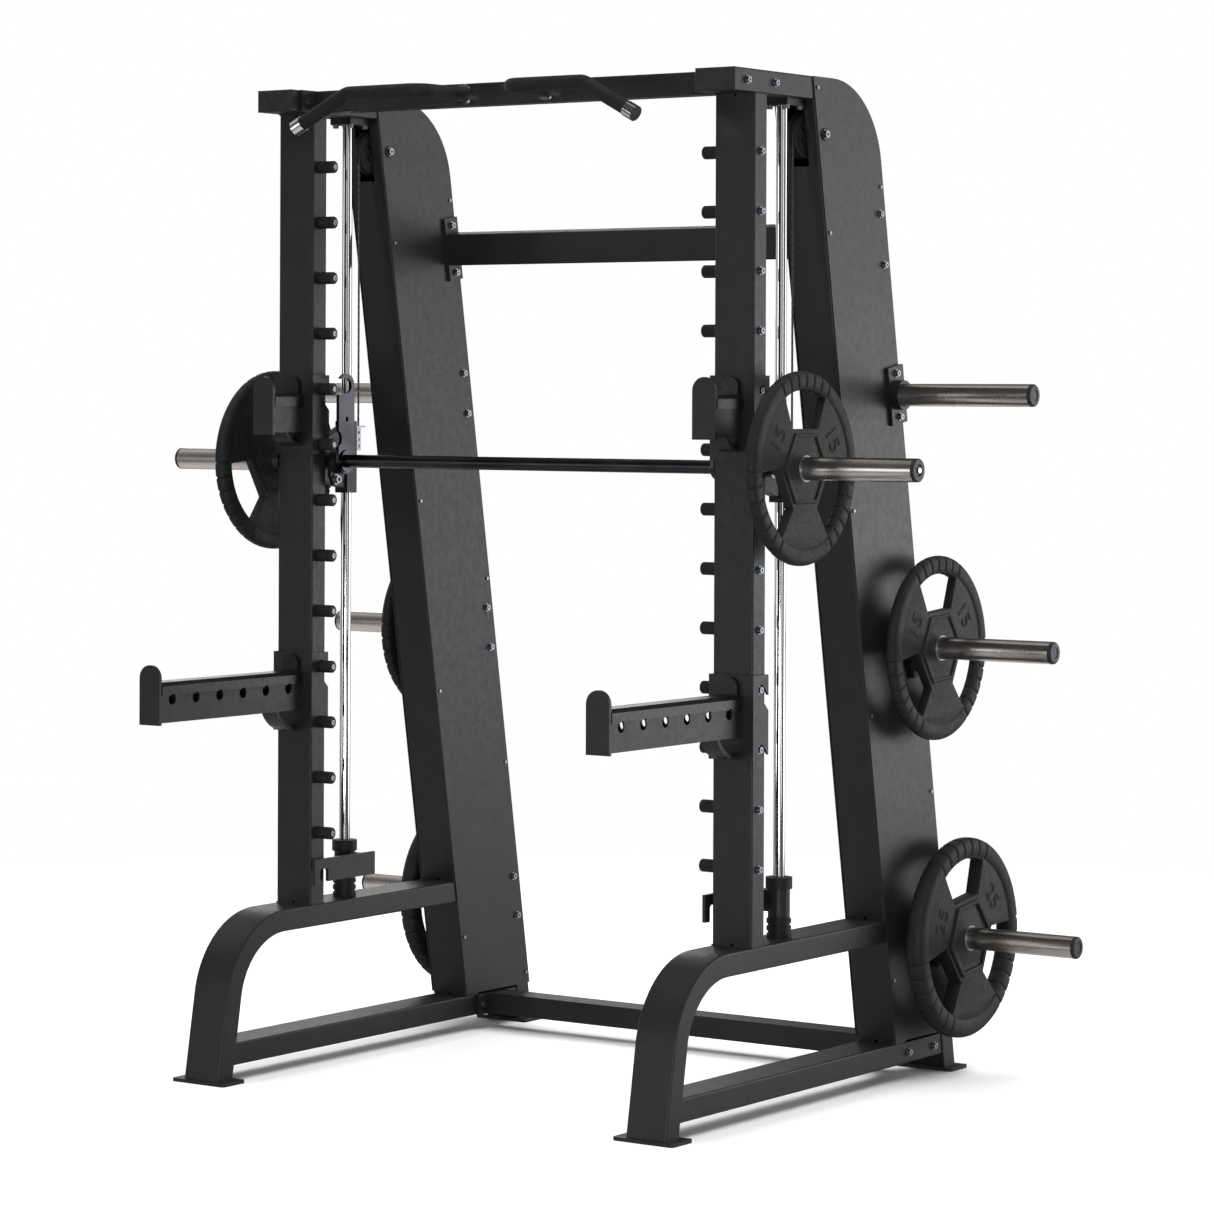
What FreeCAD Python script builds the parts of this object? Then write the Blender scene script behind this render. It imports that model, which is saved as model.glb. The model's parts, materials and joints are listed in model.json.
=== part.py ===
import FreeCAD, Part
import math
import os

V = FreeCAD.Vector
os.makedirs("parts", exist_ok=True)

# Smith machine with rack pins, spotter arms and plate storage. Millimetres, +Z up, +X to the
# right of someone facing the front, +Y to the back. While it is built, y = 0 is the front face
# of the uprights; save() moves everything so that y = 0 is the middle of the whole machine.

# Main tube, 100 x 50 with a 3 mm wall
TUBE_W = 100.0
TUBE_D = 50.0
WALL = 3.0
CORNER_R = 4.0
BEND_R = 180.0
SIDE_X = 600.0
IN_X = SIDE_X - TUBE_W / 2
OUT_X = SIDE_X + TUBE_W / 2

# Heights
FOOT_T = 8.0
LOWER_RAIL_Z = 87.0
BASE_RAIL_Z = 368.0
TOP_Z = 2230.0
RAIL_BOTTOM_Z = TOP_Z - TUBE_D

# Front to back
LEAN = 9.66
TAN = math.tan(math.radians(LEAN))
COS = math.cos(math.radians(LEAN))
SIN = math.sin(math.radians(LEAN))
COLUMN_Y0 = 609.0
COLUMN_D = 252.4
LEG_Y0 = -296.0
TOP_RAIL_Y = -74.0
CAP_T = 6.0
LOWER_RAIL_W = 94.0
FOOT = (150.0, 76.0)
PANEL_T = 3.0
PANEL_BOTTOM_Z = 92.0

# Rack pins
PIN_N = 13
PIN_PITCH = 127.0
PIN_Z0 = 2057.0
PIN_Y = TUBE_D / 2
PIN_R = 14.0
PIN_TIP_X = 505.0
PIN_HEAD_R = 6.0
BOLT_R = 5.0
HEAD_R = 7.0
HOLE_R = 5.3
SCREW_R = 2.5
SCREW_HEAD_R = 4.0
DRAIN_R = 4.0

# Guide rods, carriages and bar
ROD_Y = 186.0
ROD_R = 12.5
RUN = 0.06
BAR_Y = 76.0
BAR_Z = 1384.0
BAR_R = 15.0
BAR_END_X = 1003.0
SLEEVE_R = 25.0
SLEEVE_X = 706.0
CAP_END_T = 8.0
CAP_RECESS_R = 13.0
SLEEVE_SCREW_R = 5.5
STOP_BOLT = (64.0, 1342.0)
HOOK_X = (510.0, 518.0)
HOOK_ROOT_R = 29.0
HOOK_TIP_R = 28.0
HOOK_THROAT = PIN_R + 3.5
HOOK_RELIEF_R = PIN_R + 6.0
HOOK_HUB_R = 26.0
HOOK_HOLE = 96.0
HOOK_REACH = math.hypot(BAR_Y - PIN_Y, PIN_Z0 - 4 * PIN_PITCH - BAR_Z)
HOOK_SWING = math.degrees(math.atan2(BAR_Y - PIN_Y, PIN_Z0 - 4 * PIN_PITCH - BAR_Z))

# Pulley, cable and counterweight
PULLEY_Y = 277.5
PULLEY_Z = 2106.0
PULLEY_R = 52.0
AXLE_R = 6.0
CABLE_LOOP_R = 46.0
CABLE_R = 2.5
CABLE_Y = PULLEY_Y - CABLE_LOOP_R
WEIGHT_TOP = 1215.0
WEIGHT_LEN = 200.0
GAP = 0.3

# Plate storage
HORN_Z = (1540.6, 973.3, 311.4)
HORN_END_X = 1000.0
HORN_PLATE_T = 8.0
HORN_COLLAR_R = 33.0
HORN_COLLAR_X = 679.0
HORN_SPIGOT_R = SLEEVE_R - 1.0
HORN_BORE_R = SLEEVE_R - 3.0
PLATE_R15 = 207.0
PLATE_R25 = 226.0
PLATE_BORE_R = 25.6

# Racked attachments, heights below the upper pin they hang on
ATTACH_UP = 32.0
ATTACH_DOWN = 149.0
ARM_BOTTOM = 99.0
ARM_TOP = 24.0
LINER_TOP = 10.0
LINER_CHAMFER = 8.0
ARM_W = 54.0
LIP_W = 58.0
JHOOK_PIN = 4
SPOTTER_PIN = 9
JHOOK_FRONT = -116.0
JHOOK_STRAP = (-62.0, 30.0)
SPOTTER_FRONT = -499.0
SPOTTER_STRAP = (-92.0, 46.0)
SPOTTER_HOLES = [-454.0 + 80.0 * i for i in range(6)]
ARM_HOLE_R = 12.0
ARM_HOLE_DOWN = 48.0
SHELL_T = 6.0
SHELL_GAP = 0.5
SLOT_R = 14.6

# Pull-up handles
HANDLE_R = 16.0
HANDLE_BEND_R = 34.0
HANDLE_X = 112.0

X_AXIS = V(1, 0, 0)
Z_AXIS = V(0, 0, 1)


def column_y(z):
    """Front face of the leaning column at height z."""
    return COLUMN_Y0 - z * TAN


def rear_tube_y(z):
    """Centre line of the leaning rear tube at height z."""
    return column_y(z) + (COLUMN_D - TUBE_D / 2) / COS


MID_Y = (SPOTTER_FRONT + rear_tube_y(HORN_Z[2]) + PLATE_R25) / 2


def save(name, *solids):
    shape = solids[0] if len(solids) == 1 else Part.makeCompound(list(solids))
    shape = shape.copy()
    shape.translate(V(0, -MID_Y, 0))
    shape.exportStep("parts/%s.step" % name)


def mirrored(shape):
    return shape.mirror(V(0, 0, 0), X_AXIS)


def save_pair(name, shape):
    save(name + "_right", shape)
    save(name + "_left", mirrored(shape))


def both(shapes):
    return list(shapes) + [mirrored(s) for s in shapes]


def box(x0, x1, y0, y1, z0, z1):
    return Part.makeBox(x1 - x0, y1 - y0, z1 - z0, V(x0, y0, z0))


def cyl(r, start, end):
    return Part.makeCylinder(r, (end - start).Length, start, end - start)


def cyl_x(r, x0, x1, y, z):
    return cyl(r, V(x0, y, z), V(x1, y, z))


def cyl_z(r, z0, z1, x, y):
    return cyl(r, V(x, y, z0), V(x, y, z1))


def ring_x(ro, ri, x0, x1, y, z):
    return cyl_x(ro, x0, x1, y, z).cut(cyl_x(ri, x0 - 1, x1 + 1, y, z))


def ring_z(ro, ri, z0, z1, x, y):
    return cyl_z(ro, z0, z1, x, y).cut(cyl_z(ri, z0 - 1, z1 + 1, x, y))


def hex_x(flat, x0, x1, y, z, turn=0.0):
    """Hexagonal prism along X, FLAT across its flats, two flats level when turn is 0."""
    r = flat / math.sqrt(3)
    corners = []
    for i in range(7):
        a = math.radians(60 * i + turn)
        corners.append(V(x0, y + r * math.cos(a), z + r * math.sin(a)))
    return Part.Face(Part.makePolygon(corners)).extrude(V(x1 - x0, 0, 0))


def yz_face(points, x):
    """Face in the plane X = x from (y, z) corners."""
    corners = [V(x, y, z) for y, z in points]
    return Part.Face(Part.makePolygon(corners + corners[:1]))


def yz_plate(points, x0, x1):
    return yz_face(points, x0).extrude(V(x1 - x0, 0, 0))


def hull_plate(p, rp, q, rq, x0, x1):
    """Plate round two circles in the YZ plane, joined by their common tangents."""
    d = math.hypot(q[0] - p[0], q[1] - p[1])
    base = math.atan2(q[1] - p[1], q[0] - p[0])
    swing = math.acos((rp - rq) / d)
    corners = []
    for c, r, s in ((p, rp, 1), (q, rq, 1), (q, rq, -1), (p, rp, -1)):
        a = base + s * swing
        corners.append((c[0] + r * math.cos(a), c[1] + r * math.sin(a)))
    plate = yz_plate(corners, x0, x1)
    return plate.fuse([cyl_x(rp, x0, x1, *p), cyl_x(rq, x0, x1, *q)]).removeSplitter()


def bent_band(start, corner, end, radius, half):
    """Face in the YZ plane: a strip 2 * half wide along start - corner - end, bent at the corner."""
    s, c, e = V(0, *start), V(0, *corner), V(0, *end)
    d1 = (c - s).normalize()
    d2 = (e - c).normalize()
    turn = d1.getAngle(d2)
    side = 1 if d1.cross(d2).x > 0 else -1
    n1 = V(0, -d1.z, d1.y) * side
    n2 = V(0, -d2.z, d2.y) * side
    t1 = c - d1 * (radius * math.tan(turn / 2))
    t2 = c + d2 * (radius * math.tan(turn / 2))
    centre = t1 + n1 * radius
    out = (c - centre).normalize()
    edges = []
    for h in (half, -half):
        edges.append(Part.makeLine(s + n1 * h, t1 + n1 * h))
        edges.append(Part.Arc(t1 + n1 * h, centre + out * (radius - h), t2 + n2 * h).toShape())
        edges.append(Part.makeLine(t2 + n2 * h, e + n2 * h))
    edges.append(Part.makeLine(s + n1 * half, s - n1 * half))
    edges.append(Part.makeLine(e + n2 * half, e - n2 * half))
    return Part.Face(Part.Wire(Part.__sortEdges__(edges)))


def bent_bar(path, x0, x1, half):
    face = bent_band(*path, half)
    face.translate(V(x0, 0, 0))
    return face.extrude(V(x1 - x0, 0, 0))


def round_long_edges(shape, radius):
    """Rounds the edges that run the length of a tube, all longer than its section is wide."""
    return shape.makeFillet(radius, [e for e in shape.Edges if e.Length > TUBE_W * 1.2])


def bent_tube(path, x0, x1, depth):
    outer = round_long_edges(bent_bar(path, x0, x1, depth / 2), CORNER_R)
    inner = bent_bar(path, x0 + WALL, x1 - WALL, depth / 2 - WALL)
    return outer, outer.cut(round_long_edges(inner, CORNER_R - WALL))


def straight_tube(make, spans, open_axis):
    """Rounded square tube from a box maker and its six limits, open along one axis (0, 1 or 2)."""
    outer = round_long_edges(make(*spans), CORNER_R)
    inside = []
    for axis in range(3):
        step = -1.0 if axis == open_axis else WALL
        inside += [spans[2 * axis] + step, spans[2 * axis + 1] - step]
    return outer.cut(round_long_edges(make(*inside), CORNER_R - WALL))


def column_box(x0, x1, q0, q1, t0, t1):
    """Box in the leaning column's frame: q back from its front face, t up along it."""
    shape = box(x0, x1, q0, q1, t0, t1)
    shape.rotate(V(0, 0, 0), X_AXIS, LEAN)
    shape.translate(V(0, COLUMN_Y0, 0))
    return shape


def column_point(q, z):
    """(y, z) of the point q back from the column's front face whose height is z."""
    return column_y(z) + q / COS, z


def along_column(point, step):
    """(y, z) moved step up along the column."""
    return point[0] - step * SIN, point[1] + step * COS


def pipe(points, radius, bend):
    """Round bar along points, each inner corner bent to the given radius."""
    edges = []
    last = points[0]
    for i in range(1, len(points) - 1):
        c = points[i]
        d1 = (c - points[i - 1]).normalize()
        d2 = (points[i + 1] - c).normalize()
        half = d1.getAngle(d2) / 2
        t1 = c - d1 * (bend * math.tan(half))
        t2 = c + d2 * (bend * math.tan(half))
        mid = (d2 - d1).normalize()
        centre = c + mid * (bend / math.cos(half))
        edges.append(Part.makeLine(last, t1))
        edges.append(Part.Arc(t1, centre - mid * bend, t2).toShape())
        last = t2
    edges.append(Part.makeLine(last, points[-1]))
    start = (points[1] - points[0]).normalize()
    profile = Part.Wire(Part.makeCircle(radius, points[0], start))
    return Part.Wire(edges).makePipeShell([profile], True, True)


def socket_head(x, y, z, out, r=HEAD_R, h=6.0):
    """Washer and round socket head on the face X = x, standing out along out (+1 or -1)."""
    washer = cyl_x(r + 2.0, x, x + 2 * out, y, z)
    head = cyl_x(r, x + 2 * out, x + (2 + h) * out, y, z)
    recess = hex_x(r * 0.7, x + (h - 1.5) * out, x + (3 + h) * out, y, z)
    return washer.fuse(head).cut(recess)


def through_bolt(x0, x1, y, z, r=BOLT_R, head=HEAD_R):
    """Bolt along X clamping from x0 to x1, with a head and washer at each end."""
    ends = [socket_head(x0, y, z, -1, head), socket_head(x1, y, z, 1, head)]
    return cyl_x(r, x0 - 4, x1 + 4, y, z).fuse(ends)


def holes_x(points, x0, x1, r=HOLE_R):
    return Part.makeCompound([cyl_x(r, x0, x1, y, z) for y, z in points])


# ---- where the bolts go ------------------------------------------------------
rear_q = COLUMN_D - TUBE_D / 2
pins = [(PIN_Y, PIN_Z0 - i * PIN_PITCH) for i in range(PIN_N)]
top_beam_bolts = [(-30.0, 2205.0), (80.0, 2205.0)]
UPPER_BEAM_Z = 1886.0
upper_beam_mid = column_point(rear_q, UPPER_BEAM_Z)
upper_beam_bolts = [along_column(upper_beam_mid, s) for s in (-57.0, 57.0)]
LOWER_BEAM_Y = 713.0
LOWER_BEAM_Z = LOWER_RAIL_Z - TUBE_D / 2
lower_beam_bolts = [(LOWER_BEAM_Y + s, LOWER_BEAM_Z) for s in (-56.0, 56.0)]
horn_mids = [column_point(rear_q, z) for z in HORN_Z]
horn_bolts = [along_column(m, s) for m in horn_mids for s in (-49.0, 49.0)]
axle = [(PULLEY_Y, PULLEY_Z)]
SCREW_IN = 12.0
screws = [column_point(SCREW_IN, z) for z in (2206.0, 1893.0, 1285.0, 830.0, 232.0)]
screws += [column_point(COLUMN_D - SCREW_IN, z) for z in (2002.0, 1092.0, 642.0, 119.0)]


def drain(face_y, z):
    """Small hole through the front wall of a tube, just clear of the tube it stands on or hangs from."""
    return cyl(DRAIN_R, V(SIDE_X, face_y - 5, z), V(SIDE_X, face_y + 10, z))


# ---- side frames -------------------------------------------------------------
leg_path = [
    (LEG_Y0 - 60 * TAN, FOOT_T - 60),
    (LEG_Y0 + (BASE_RAIL_Z - TUBE_D / 2 - FOOT_T) * TAN, BASE_RAIL_Z - TUBE_D / 2),
    (COLUMN_Y0, BASE_RAIL_Z - TUBE_D / 2),
    BEND_R,
]
leg_full, leg_tube = bent_tube(leg_path, IN_X, OUT_X, TUBE_D)
below_foot = box(0, 900, -600, 1200, -200, FOOT_T)
behind_column = column_box(0, 900, 0, 600, 0, 2600)
save_pair("leg_frame", leg_tube.cut([below_foot, behind_column]))

rear_corner_y = rear_tube_y(TOP_Z - TUBE_D / 2)
rear_path = [
    (rear_tube_y(-60), -60.0),
    (rear_corner_y, TOP_Z - TUBE_D / 2),
    (TOP_RAIL_Y, TOP_Z - TUBE_D / 2),
    BEND_R,
]
rear_full, rear_tube = bent_tube(rear_path, IN_X, OUT_X, TUBE_D)
rear_holes = holes_x(top_beam_bolts + upper_beam_bolts + horn_bolts, 500, 700)
screw_holes = holes_x(screws, 500, 700, SCREW_R + 0.1)
save_pair("rear_tube", rear_tube.cut([below_foot, rear_holes, screw_holes]))

lower_in = SIDE_X - LOWER_RAIL_W / 2
lower_out = SIDE_X + LOWER_RAIL_W / 2
lower_z0 = LOWER_RAIL_Z - TUBE_D
rail = straight_tube(box, (lower_in, lower_out, -400, 1000, lower_z0, LOWER_RAIL_Z), 1)
rail = rail.cut([leg_full, rear_full, holes_x(lower_beam_bolts, 500, 700)])
middle = box(0, 900, -300, 850, 0, 200)
rail = max(rail.common(middle).Solids, key=lambda s: s.BoundBox.YLength)
save("lower_rails", *both([rail]))

front_foot_y = LEG_Y0 - TUBE_D / 2 - 13
rear_foot_y = rear_tube_y(FOOT_T) - TUBE_D / 2 - 13
feet = []
for y in (front_foot_y, rear_foot_y):
    plate = box(SIDE_X - FOOT[0] / 2, SIDE_X + FOOT[0] / 2, y, y + FOOT[1], 0, FOOT_T)
    corners = [e for e in plate.Edges if abs(e.tangentAt(e.FirstParameter).z) > 0.9]
    feet.append(plate.makeFillet(6.0, corners))
save("foot_plates", *both(feet))

upright = straight_tube(box, (IN_X, OUT_X, 0, TUBE_D, BASE_RAIL_Z, RAIL_BOTTOM_Z), 2)
drains = [drain(0, BASE_RAIL_Z + DRAIN_R - 1), drain(0, RAIL_BOTTOM_Z - DRAIN_R + 1)]
upright = upright.cut([holes_x(pins, 500, 700)] + drains)
save_pair("upright", upright)

front = straight_tube(column_box, (IN_X, OUT_X, 0, TUBE_D, 0, 2600), 2)
front = front.cut([box(0, 900, 0, 1200, -10, LOWER_RAIL_Z), box(0, 900, 0, 1200, RAIL_BOTTOM_Z, 2700)])
slot = box(SIDE_X - 22, SIDE_X + 22, 180, 345, 2037.0, 2168.0)
drains = [drain(column_y(z), z) for z in (LOWER_RAIL_Z + DRAIN_R - 1, BASE_RAIL_Z + DRAIN_R - 1)]
front = front.cut([slot, screw_holes, holes_x(axle, 500, 700, AXLE_R + GAP)] + drains)
save("column_tubes", *both([front]))

outer_r = BEND_R + TUBE_D / 2
arc_mid = V(0, rear_corner_y, TOP_Z - TUBE_D / 2)
lead = math.tan(math.radians(90 - LEAN) / 2) * BEND_R
arc_c = V(0, rear_corner_y - lead, TOP_Z - TUBE_D / 2 - BEND_R)
arc_out = (arc_mid - arc_c).normalize()
top_tangent = V(0, arc_c.y, TOP_Z)
back_tangent = arc_c + V(0, COS, SIN) * outer_r
rear_bottom = V(0, *column_point(COLUMN_D, PANEL_BOTTOM_Z))
front_bottom = V(0, column_y(PANEL_BOTTOM_Z), PANEL_BOTTOM_Z)
front_top = V(0, column_y(TOP_Z), TOP_Z)
outline = Part.Wire([
    Part.makeLine(front_bottom, front_top),
    Part.makeLine(front_top, top_tangent),
    Part.Arc(top_tangent, arc_c + arc_out * outer_r, back_tangent).toShape(),
    Part.makeLine(back_tangent, rear_bottom),
    Part.makeLine(rear_bottom, front_bottom),
])
panel_cuts = [
    holes_x(upper_beam_bolts + horn_bolts, 500, 700),
    screw_holes,
    holes_x(axle, 500, 700, AXLE_R + GAP),
]
panels = []
for x0 in (OUT_X, IN_X - PANEL_T):
    face = Part.Face(outline)
    face.translate(V(x0, 0, 0))
    panels.append(face.extrude(V(PANEL_T, 0, 0)).cut(panel_cuts))
save("column_panels_right", *panels)
save("column_panels_left", *[mirrored(p) for p in panels])

rail_cap = box(IN_X, OUT_X, TOP_RAIL_Y - CAP_T, TOP_RAIL_Y, RAIL_BOTTOM_Z, TOP_Z)
front_edges = [e for e in rail_cap.Edges if e.BoundBox.YMax < TOP_RAIL_Y - CAP_T + 0.1]
rail_cap = rail_cap.makeFillet(4.0, front_edges)
plug = box(IN_X + 4, OUT_X - 4, TOP_RAIL_Y, TOP_RAIL_Y + 18, RAIL_BOTTOM_Z + 4, TOP_Z - 4)
save("rail_caps", *both([rail_cap.fuse(plug).removeSplitter()]))

# ---- crossbeams --------------------------------------------------------------
FLANGE_T = 8.0
FLANGE_L = 150.0
BEAM_W = 75.0
beam_x = IN_X - FLANGE_T
top_beam = straight_tube(box, (-beam_x, beam_x, 0, TUBE_D, RAIL_BOTTOM_Z, TOP_Z), 0)
flange = box(beam_x, IN_X, -50, FLANGE_L - 50, RAIL_BOTTOM_Z, TOP_Z).cut(holes_x(top_beam_bolts, 500, 700))
save("top_crossbeam", top_beam.fuse(both([flange])).removeSplitter())

panel_in = IN_X - PANEL_T
beam_x = panel_in - FLANGE_T
t_mid = (UPPER_BEAM_Z - rear_q * SIN) / COS
q0, q1 = rear_q - 25, rear_q + 25
spans = (-beam_x, beam_x, q0, q1, t_mid - BEAM_W / 2, t_mid + BEAM_W / 2)
upper = straight_tube(column_box, spans, 0)
flange = column_box(beam_x, panel_in, q0, q1, t_mid - FLANGE_L / 2, t_mid + FLANGE_L / 2)
flange = flange.cut(holes_x(upper_beam_bolts, 500, 700))
save("rear_crossbeam_upper", upper.fuse(both([flange])).removeSplitter())

beam_x = lower_in - FLANGE_T
y0, y1 = LOWER_BEAM_Y - BEAM_W / 2, LOWER_BEAM_Y + BEAM_W / 2
lower = straight_tube(box, (-beam_x, beam_x, y0, y1, lower_z0, LOWER_RAIL_Z), 0)
y0, y1 = LOWER_BEAM_Y - FLANGE_L / 2, LOWER_BEAM_Y + FLANGE_L / 2
flange = box(beam_x, lower_in, y0, y1, lower_z0, LOWER_RAIL_Z)
flange = flange.cut(holes_x(lower_beam_bolts, 500, 700))
save("rear_crossbeam_lower", lower.fuse(both([flange])).removeSplitter())

# ---- guide rods and what holds them --------------------------------------------
save("guide_rods", *both([cyl_z(ROD_R, BASE_RAIL_Z, RAIL_BOTTOM_Z, SIDE_X, ROD_Y)]))
mount_y = 197.5
mount = box(SIDE_X - 30, SIDE_X + 30, mount_y - 37, mount_y + 37, RAIL_BOTTOM_Z - 15, RAIL_BOTTOM_Z)
mount_at = [(SIDE_X + a, mount_y + b) for a in (-21, 21) for b in (-28, 28)]
mount = mount.cut([cyl_z(ROD_R, 2100, 2300, SIDE_X, ROD_Y)])
save("rod_mounts", *both([mount]))
BUMPER_TOP = BASE_RAIL_Z + 45
bumper = ring_z(24, ROD_R, BASE_RAIL_Z, BUMPER_TOP, SIDE_X, ROD_Y)
ribs = [ring_z(27, ROD_R, z, z + 9, SIDE_X, ROD_Y) for z in (368.0, 384.0, 400.0)]
save("rod_bumpers", *both([bumper.fuse(ribs).removeSplitter()]))

# ---- rack pins ---------------------------------------------------------------
sleeves = [ring_x(PIN_R, HOLE_R, PIN_TIP_X + 2, IN_X, y, z) for y, z in pins]
sleeves = [s.makeFillet(2.0, [e for e in s.Edges if e.BoundBox.XMax < PIN_TIP_X + 2.1]) for s in sleeves]
save("rack_pins", *both(sleeves))
pin_bolts = []
for y, z in pins:
    tip = cyl_x(PIN_HEAD_R, PIN_TIP_X, PIN_TIP_X + 2, y, z)
    tip = tip.cut(hex_x(PIN_HEAD_R, PIN_TIP_X - 1, PIN_TIP_X + 1.5, y, z))
    pin_bolts.append(cyl_x(BOLT_R, PIN_TIP_X + 1, OUT_X + 4, y, z).fuse([tip, socket_head(OUT_X, y, z, 1)]))
save("rack_bolts", *both(pin_bolts))

# ---- weight horns -------------------------------------------------------------
mounts, horns, horn_caps = [], [], []
panel_out = OUT_X + PANEL_T
for i, (y, z) in enumerate(horn_mids):
    t = (z - rear_q * SIN) / COS
    plate = column_box(panel_out, panel_out + HORN_PLATE_T, rear_q - 32, rear_q + 32, t - 65, t + 65)
    collar = cyl_x(HORN_COLLAR_R, panel_out + HORN_PLATE_T, HORN_COLLAR_X, y, z)
    bore = cyl_x(HORN_SPIGOT_R, panel_out, HORN_COLLAR_X + 1, y, z)
    bolts = holes_x(horn_bolts[2 * i:2 * i + 2], 500, 700)
    mounts.append(plate.fuse(collar).cut([bore, bolts]))
    spigot = ring_x(HORN_SPIGOT_R, HORN_BORE_R, panel_out, HORN_COLLAR_X, y, z)
    horns.append(spigot.fuse(ring_x(SLEEVE_R, HORN_BORE_R, HORN_COLLAR_X, HORN_END_X, y, z)))
    cap = cyl_x(SLEEVE_R, HORN_END_X, HORN_END_X + CAP_END_T, y, z)
    cap = cap.makeFillet(5.0, [e for e in cap.Edges if e.BoundBox.XMin > HORN_END_X + 1])
    cap = cap.cut(cyl_x(CAP_RECESS_R, HORN_END_X + CAP_END_T - 1.5, HORN_END_X + CAP_END_T + 1, y, z))
    horn_caps.append(cap.fuse(cyl_x(HORN_BORE_R - 0.2, HORN_END_X - 15, HORN_END_X, y, z)))
save("horn_mounts", *both(mounts))
save("weight_horns", *both(horns))
save("horn_caps", *both(horn_caps))

# ---- fasteners of the frame ----------------------------------------------------
flange_in = IN_X - FLANGE_T
fixings = [through_bolt(flange_in, OUT_X, y, z) for y, z in top_beam_bolts]
fixings += [through_bolt(panel_in - FLANGE_T, panel_out, y, z) for y, z in upper_beam_bolts]
fixings += [through_bolt(lower_in - FLANGE_T, lower_out, y, z) for y, z in lower_beam_bolts]
fixings += [through_bolt(panel_in, panel_out + HORN_PLATE_T, y, z) for y, z in horn_bolts]
fixings += [through_bolt(panel_in, panel_out, PULLEY_Y, PULLEY_Z, AXLE_R, 8.5)]
for x, y in mount_at:
    washer = cyl_z(9.0, RAIL_BOTTOM_Z - 17, RAIL_BOTTOM_Z - 15, x, y)
    fixings.append(washer.fuse(cyl_z(7.0, RAIL_BOTTOM_Z - 23, RAIL_BOTTOM_Z - 17, x, y)))
save("frame_bolts", *both(fixings))
small = []
for y, z in screws:
    for x, out in ((panel_out, 1), (panel_in, -1)):
        head = cyl_x(SCREW_HEAD_R, x, x + 3 * out, y, z)
        small.append(head.fuse(cyl_x(SCREW_R, x, x - 8 * out, y, z)).removeSplitter())
save("panel_screws", *both(small))

# ---- pull-up handles -------------------------------------------------------------
handle_z = TOP_Z - TUBE_D / 2
handle_path = [
    V(HANDLE_X, 5, handle_z),
    V(HANDLE_X + 4, -166, handle_z),
    V(HANDLE_X + 209, -164, handle_z),
    V(HANDLE_X + 344, -172, handle_z - 70),
]
end_dir = (handle_path[3] - handle_path[2]).normalize()
handle = pipe(handle_path, HANDLE_R, HANDLE_BEND_R).cut(box(0, 600, 0, TUBE_D, handle_z - 50, handle_z + 50))
save("pull_up_bars", *both([handle]))
collar = cyl(HANDLE_R + 6, V(HANDLE_X, -16, handle_z), V(HANDLE_X, 0, handle_z)).cut(handle)
end_cap = cyl(HANDLE_R + 1.5, handle_path[3] - end_dir * 18, handle_path[3] + end_dir * 8).cut(handle)
save("handle_trim", *both([collar, end_cap]))

# ---- carriages ---------------------------------------------------------------
BLOCK_Z = (1308.0, 1475.0)
block = box(SIDE_X - 18, SIDE_X + 18, ROD_Y - 18, ROD_Y + 18, *BLOCK_Z)
web_outline = [(57, 1360), (57, 1408), (90, 1432), (170, 1466), (170, 1318), (90, 1338)]
web = yz_plate(web_outline, SIDE_X - 12, SIDE_X + 12)
boss = cyl_x(21.0, 541.5, 655, BAR_Y, BAR_Z)
bar_flange = cyl_x(30.0, 524, 541.5, BAR_Y, BAR_Z)
lug_outline = [(47, 1384), (45, 1352), (57, 1326), (77, 1326), (92, 1340), (105, 1384)]
lug = yz_plate(lug_outline, 532, 541.5)
carriage = block.fuse([web, boss, bar_flange, lug]).removeSplitter()
carriage = carriage.cut([
    cyl_x(BAR_R + RUN, 500, 700, BAR_Y, BAR_Z),
    cyl_z(16.0, 1300, 1500, SIDE_X, ROD_Y),
    cyl_x(4.2, 531, 545, *STOP_BOLT),
])
save_pair("carriage", carriage)
bushings = [ring_z(16.0, ROD_R + RUN, z, z + 30, SIDE_X, ROD_Y) for z in (BLOCK_Z[0], BLOCK_Z[1] - 30)]
save("carriage_bushings", *both(bushings))
stop_bolt = cyl_x(4.0, 530, 543, *STOP_BOLT).fuse([
    cyl_x(12.0, 530, 532, *STOP_BOLT),
    cyl_x(9.0, 522, 530, *STOP_BOLT).cut(hex_x(9, 521, 526, *STOP_BOLT)),
    cyl_x(7.0, 541.5, 543, *STOP_BOLT),
])
STRIP_X = (586.0, 590.0)
STRIP_Z = (1406.0, 1464.0)
block_back = ROD_Y + 18
strip = box(*STRIP_X, block_back, block_back + 20, *STRIP_Z)
foot = box(STRIP_X[0], SIDE_X + 14, block_back, block_back + 3, *STRIP_Z)
shelf = box(STRIP_X[0], SIDE_X + 14, block_back, CABLE_Y + 9, STRIP_Z[1] - 4, STRIP_Z[1])
strip = strip.fuse([foot, shelf]).removeSplitter().cut([
    cyl_z(CABLE_R + GAP, 1440, 1480, SIDE_X, CABLE_Y),
    holes_x([(block_back + 12, STRIP_Z[0] + 10 + 16 * i) for i in range(3)], 580, 595, 3.5),
])
ferrule = ring_z(6.0, CABLE_R + GAP, STRIP_Z[1] - 20, STRIP_Z[1] - 4, SIDE_X, CABLE_Y)
save("carriage_fittings", *both([stop_bolt, strip, ferrule]))

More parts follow.
